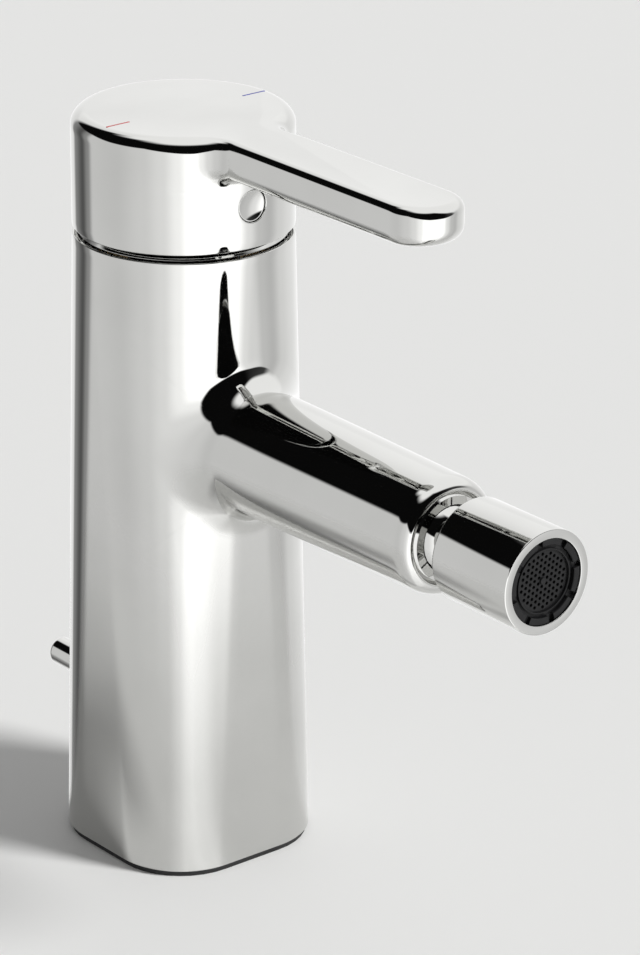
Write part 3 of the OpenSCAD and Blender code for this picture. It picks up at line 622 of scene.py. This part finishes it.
def gridPatches(spec):
    # a honeycomb of small cups: rings about each cell's middle go round its wall, rim, hole and floor
    p, slant = spec["pitch"], math.radians(spec["slant"])
    i, j = np.meshgrid(np.arange(-8, 9), np.arange(-8, 9))
    u, v = (p * (i + 0.5 * (j % 2))).ravel(), (p * j * math.sqrt(3) / 2).ravel()
    cx, cy = u * math.cos(slant) - v * math.sin(slant), u * math.sin(slant) + v * math.cos(slant)
    keep = np.hypot(cx, cy) < spec["rim"] + 0.5
    turn = np.linspace(0, 2 * np.pi, 24, endpoint=False)
    wall = 0.994 * p / 2 / np.cos((turn + np.pi / 6) % (np.pi / 3) - np.pi / 6)
    c, s = np.cos(turn + slant), np.sin(turn + slant)
    top, low = spec["front"], spec["front"] - spec["deep"]
    cup = ((spec["hole"], top), (spec["hole"] - 0.02, top - 0.08), (spec["hole"] - 0.04, low), (0, low))
    patches = []
    for x0, y0 in zip(cx[keep], cy[keep]):
        x, y = x0 + wall * c, y0 + wall * s
        out = np.maximum(np.hypot(x, y) / spec["rim"], 1)
        x, y = x / out, y / out
        holed = spec["boss"][0] < math.hypot(x0, y0) < spec["field"]
        x0, y0 = x.mean(), y.mean()
        rings = [(x0 + k * (x - x0), y0 + k * (y - y0), at)
                 for k, at in ((0, spec["back"]), (1, spec["back"]), (1, top))]
        rings += [(x0 + r * c, y0 + r * s, at) for r, at in (cup if holed else ((0, top),))]
        points = [np.stack([px, np.full_like(px, -at), spout["z"] + pz], -1) for px, pz, at in rings]
        patches.append((np.stack(points), True))
    lipIn, lipOut, lipTop = spec["lip"]
    bossR, bossTop = spec["boss"]
    lip = rounded(((lipIn, low), (lipOut, low), (lipOut, lipTop), (lipIn, lipTop)), (0, 0, 0.1, 0.1), 4)
    boss = rounded(((0, low), (bossR, low), (bossR, bossTop), (0, bossTop)), (0, 0, 0.1, 0), 4)
    return patches + [(turned(shut(lip), 96), True), (turned(boss, 32), True)]


buildPiece(gridSpec, gridPatches(gridSpec))
print("outlet made")


# Knob, and what the hose chamber holds

knobSpec = {"name": "knobPin", "finish": "chrome", "body": "popup", "node": "knob_pin", "z": 25.0,
            "corners": ((0, 11.5), (3.1, 11.5), (3.1, 46.5), (0, 46.5)), "sizes": (0, 0, 0.9, 0)}
knobCurve = rounded(knobSpec["corners"], knobSpec["sizes"], 9)
buildPiece(knobSpec, [(turned(knobCurve, 72, knobSpec["z"], 1), True)])

ribSpec = {"name": "chamberRibs", "finish": "chrome", "body": "mixer_body",
           "boss": ((3.4, 0.0), (6.0, 0.0), (6.0, 10.0), (3.4, 10.0)),
           "bars": ((-4, 4, -19.8, -4.9, 1, 10), (-4, 4, 4.9, 8, 1, 10), (3.9, 7.5, 7.7, 19.8, 20.4, 74.2),
                    (-7.5, -3.9, 7.7, 19.8, 20.4, 74.2), (-3.9, 3.9, 7.7, 9.8, 20.4, 74.2),
                    (-3.9, 3.9, 9.8, 19.8, 47.5, 74.2)),
           "guide": {"x": 7.5, "front": 6.8, "rear": 5.4, "y": 14.5, "bore": 4.8, "low": 1.0, "top": 20.4,
                     "lid": 0.4}}


def ribPatches(spec):
    # a stud boss, straight bars, and a block round the pull rod's guide with a rectangle as its outline
    patches, caps = [(turnedUp(shut(spec["boss"]), 64), True)], []
    for x0, x1, y0, y1, z0, z1 in spec["bars"]:
        foot = np.array([(x0, y0, z0), (x1, y0, z0), (x1, y1, z0), (x0, y1, z0)], float)
        head = foot + [0, 0, z1 - z0]
        patches.append((np.stack([foot, head]), True))
        caps += [foot[::-1], head]
    g = spec["guide"]
    turn = np.linspace(0, 2 * np.pi, 96, endpoint=False)
    c, s = np.cos(turn), np.sin(turn)
    wide = g["x"] / np.maximum(np.abs(c), 1e-6)
    long = np.where(s < 0, g["front"], g["rear"]) / np.maximum(np.abs(s), 1e-6)
    reach, roof = np.minimum(wide, long), g["top"] - g["lid"]
    rows = [(0, roof), (g["bore"], roof), (g["bore"], g["low"]),
            (reach, g["low"]), (reach, g["top"]), (0, g["top"])]
    points = [np.stack([r * c, g["y"] + r * s, np.full_like(c, z)], -1) for r, z in rows]
    patches.append((np.stack(points), True))
    return patches, caps


buildPiece(ribSpec, *ribPatches(ribSpec))
print("knob and chamber made")


# Camera and stage

def makeCamera():
    # a long lens in front, to the left and above, placed by its three axes
    eye = (-0.511363, -0.668502, 0.417803)
    right = (0.774543, -0.632507, 0.004245)
    up = (0.232117, 0.290470, 0.928305)
    back = (-0.588393, -0.718026, 0.371797)
    lens = bpy.data.cameras.new("camera")
    lens.sensor_width = 36.0
    lens.lens = 162.53
    lens.clip_start, lens.clip_end = 0.01, 20.0
    camera = bpy.data.objects.new("camera", lens)
    bpy.context.scene.collection.objects.link(camera)
    camera.matrix_world = Matrix([*zip(right, up, back, eye), (0, 0, 0, 1)])
    bpy.context.scene.camera = camera


makeCamera()
bpy.context.scene.view_settings.view_transform = "Standard"

studioSpec = {
    "forward": (-0.634, -0.7735, 0), "right": (0.7735, -0.634, 0), "soft": 0.012, "dome": 0.32,
    "lampPower": 3.5, "lampSize": 14, "lampFrom": (68, 34),
    "floorPaint": {"name": "floorPaint", "dark": (0.80, 0.80, 0.79), "light": (0.82, 0.82, 0.81),
                   "rough": (0.6, 0.7), "scale": 3},
    # distance over which the mirrored floor gives way, and by bearing the share of painted reflection that
    # lets metal see the studio instead of the floor: a painted shadow at the back left, a painted highlight
    # in a narrow band toward the camera, more of the studio behind
    "away": (0.03, 0.31),
    "paintedStreaks": ((-180, 0.5), (-160, 0.4), (-146, 0.6), (-134, 0.85), (-116, 0.8), (-103, 0.0), (-20, 0.0),
               (4, 0.32), (12, 0.4), (20, 0.34), (46, 0.08), (88, 0.0), (108, 0.5), (180, 0.5)),
    # bearing in degrees and brightness of the pale wall and table round the object, with one dark gap; the
    # gap is painted shadow, standing for the object's own shadow on the table as metal would mirror it, while
    # near the base the lamp casts the real one
    "wall": ((-180, 1.15), (-150, 1.0), (-141, 0.3), (-124, 0.12), (-113, 0.36), (-104, 0.84), (-70, 0.80),
             (-40, 0.92), (-20, 1.08), (-4, 1.4), (8, 1.8), (58, 1.8), (72, 1.15), (86, 0.80), (100, 0.72),
             (118, 0.96), (136, 1.04), (160, 1.1), (180, 1.15)),
    # bearing and height in degrees of the wall's upper edge
    "edge": ((-180, 20), (-140, 14), (-108, 20), (-80, 20), (-40, 24), (-20, 14), (0, 4), (20, -3), (60, -3),
             (80, 2), (110, 12), (180, 20)),
    # bearing and brightness of what stands above that edge
    "above": ((-180, 1.25), (-150, 1.1), (-140, 0.004), (62, 0.004), (86, 0.06), (104, 0.75), (120, 1.05),
              (180, 1.25)),
    # bearing and height of the cloth's upper edge, and the brightness over it
    "ceiling": ((-180, 52), (-125, 57), (-100, 70), (-60, 70), (0, 64), (50, 60), (78, 32), (100, 18),
                (180, 18)),
    "ceilingSoft": 0.04, "ceilingTone": 1.25}


def addRamp(tree, source, stops, low, high, ease="EASE"):
    # a ramp over a range of numbers, with grey stops
    ramp = tree.nodes.new("ShaderNodeValToRGB")
    ramp.color_ramp.interpolation = ease
    parts = ramp.color_ramp.elements
    for i, (at, tone) in enumerate(stops):
        place = (at - low) / (high - low)
        part = parts[i] if i < 2 else parts.new(place)
        part.position = place
    for part, (at, tone) in zip(sorted(parts, key=lambda one: one.position), stops):
        part.color = (tone, tone, tone, 1)
    tree.links.new(source, ramp.inputs["Fac"])
    return ramp.outputs["Color"]


def addMath(tree, kind, *values):
    node = tree.nodes.new("ShaderNodeMath")
    node.operation = kind
    for socket, value in zip(node.inputs, values):
        if isinstance(value, (int, float)):
            socket.default_value = value
        else:
            tree.links.new(value, socket)
    return node.outputs[0]


def addVector(tree, kind, source, vector=None):
    node = tree.nodes.new("ShaderNodeVectorMath")
    node.operation = kind
    tree.links.new(source, node.inputs[0])
    if vector:
        node.inputs[1].default_value = vector
    return node.outputs["Value"]


def addBearing(tree, source, spec):
    # angle round the vertical axis from the camera's side, as a share of a full turn
    angle = addMath(tree, "ARCTAN2", addVector(tree, "DOT_PRODUCT", source, spec["right"]),
                    addVector(tree, "DOT_PRODUCT", source, spec["forward"]))
    return addMath(tree, "MULTIPLY_ADD", angle, 0.5 / math.pi, 0.5)


def makeFloor(spec):
    # pale matt floor; mirrored in metal it gives way to the studio with distance, and by bearing as painted
    # reflection: a painted shadow at the back left and a painted highlight in a narrow band toward the camera
    mesh = bpy.data.meshes.new("floor")
    mesh.from_pydata([(-6, -6, 0), (6, -6, 0), (6, 6, 0), (-6, 6, 0)], [], [(0, 1, 2, 3)])
    floor = bpy.data.objects.new("floor", mesh)
    bpy.context.scene.collection.objects.link(floor)
    paint = makeFinish(spec["floorPaint"])
    mesh.materials.append(paint)
    tree = paint.node_tree
    place, ray = tree.nodes["Texture Coordinate"].outputs["Object"], tree.nodes.new("ShaderNodeLightPath")
    away = tree.nodes.new("ShaderNodeMapRange")
    away.interpolation_type = "SMOOTHSTEP"
    away.inputs["From Min"].default_value, away.inputs["From Max"].default_value = spec["away"]
    tree.links.new(addVector(tree, "LENGTH", place), away.inputs["Value"])
    # painted reflection: by bearing, metal sees the studio's painted shadow and highlight through the floor
    # instead of the floor itself
    paintedStreaks = addRamp(tree, addBearing(tree, place, spec), spec["paintedStreaks"], -180, 180)
    share = addMath(tree, "ADD", away.outputs["Result"], paintedStreaks)
    clear = tree.nodes.new("ShaderNodeBsdfTransparent")
    either = tree.nodes.new("ShaderNodeMixShader")
    tree.links.new(addMath(tree, "MULTIPLY", share, ray.outputs["Is Glossy Ray"]), either.inputs["Fac"])
    tree.links.new(tree.nodes["Principled BSDF"].outputs["BSDF"], either.inputs[1])
    tree.links.new(clear.outputs["BSDF"], either.inputs[2])
    tree.links.new(either.outputs["Shader"], tree.nodes["Material Output"].inputs["Surface"])


def makeLamp(spec):
    # one wide soft lamp, which shiny surfaces do not mirror
    light = bpy.data.lights.new("lamp", "SUN")
    light.energy, light.angle = spec["lampPower"], math.radians(spec["lampSize"])
    lamp = bpy.data.objects.new("lamp", light)
    bpy.context.scene.collection.objects.link(lamp)
    bearing, height = (math.radians(a) for a in spec["lampFrom"])
    side = Vector(spec["forward"]) * math.cos(bearing) + Vector(spec["right"]) * math.sin(bearing)
    toward = side * math.cos(height) + Vector((0, 0, math.sin(height)))
    lamp.rotation_euler = toward.to_track_quat("Z", "Y").to_euler()
    lamp.visible_glossy = False


def makeStudio(spec):
    # soft white light all round; shiny surfaces see a pale wall with a painted shadow of the object as a dark
    # gap, black cloth above it and a white ceiling
    world = bpy.data.worlds.new("studio")
    world.use_nodes = True
    tree = world.node_tree
    nodes, links = tree.nodes, tree.links
    dome = nodes["Background"]
    dome.inputs["Color"].default_value = (1, 1, 1, 1)
    dome.inputs["Strength"].default_value = spec["dome"]

    def mix(factor, a, b):
        node = nodes.new("ShaderNodeMixRGB")
        links.new(factor, node.inputs["Fac"])
        for socket, value in ((node.inputs["Color1"], a), (node.inputs["Color2"], b)):
            if isinstance(value, tuple):
                socket.default_value = value
            else:
                links.new(value, socket)
        return node.outputs["Color"]

    place = nodes.new("ShaderNodeTexCoord").outputs["Generated"]
    bearing = addBearing(tree, place, spec)
    up = addVector(tree, "DOT_PRODUCT", place, (0, 0, 1))
    height = addMath(tree, "MULTIPLY_ADD", addMath(tree, "ARCSINE", up), 1 / math.pi, 0.5)

    def border(stops):
        # heights in degrees by bearing, as a share of the half turn from below to above
        return addRamp(tree, bearing, [(at, rise / 180 + 0.5) for at, rise in stops], -180, 180, "LINEAR")

    # the wall's dark gap at the back left is painted shadow of the object on the table
    wall = addRamp(tree, bearing, spec["wall"], -180, 180)
    edge = border(spec["edge"])
    above = addRamp(tree, bearing, spec["above"], -180, 180)
    ceiling = border(spec["ceiling"])

    def over(limit, soft):
        node = nodes.new("ShaderNodeMapRange")
        node.interpolation_type = "SMOOTHSTEP"
        node.inputs["From Min"].default_value, node.inputs["From Max"].default_value = -soft, soft
        links.new(addMath(tree, "SUBTRACT", height, limit), node.inputs["Value"])
        return node.outputs["Result"]

    tone = spec["ceilingTone"]
    below = mix(over(edge, spec["soft"]), wall, above)
    seen = mix(over(ceiling, spec["ceilingSoft"]), below, (tone, tone, tone, 1))
    cards = nodes.new("ShaderNodeBackground")
    links.new(seen, cards.inputs["Color"])
    ray = nodes.new("ShaderNodeLightPath")
    either = nodes.new("ShaderNodeMixShader")
    mirrored = addMath(tree, "ADD", ray.outputs["Is Glossy Ray"], ray.outputs["Is Transmission Ray"])
    links.new(mirrored, either.inputs["Fac"])
    links.new(dome.outputs["Background"], either.inputs[1])
    links.new(cards.outputs["Background"], either.inputs[2])
    links.new(either.outputs["Shader"], nodes["World Output"].inputs["Surface"])
    bpy.context.scene.world = world


makeFloor(studioSpec)
makeLamp(studioSpec)
makeStudio(studioSpec)

# CAD nodes that keep their own shape
nodeFinish = {"base_gasket": "rubber", "rod_bush": "white_plastic", "cartridge_nut": "brass",
              "cartridge_housing": "grey_plastic", "cartridge_base": "black_plastic", "port_seals": "rubber",
              "fixed_disc": "ceramic", "stop_ring": "red_plastic", "ball_seal": "rubber",
              "rotor": "white_plastic", "pivot_pin": "steel", "lever_stem": "steel", "set_screw": "steel",
              "disc_carrier": "grey_plastic", "moving_disc": "ceramic", "ball_seat": "white_plastic",
              "aerator_seal": "rubber", "flow_regulator": "white_plastic", "pull_rod": "steel"}
for node, slot in nodeFinish.items():
    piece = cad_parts[node]
    piece.data.materials.clear()
    piece.data.materials.append(finishes[slot])
print("stage made")
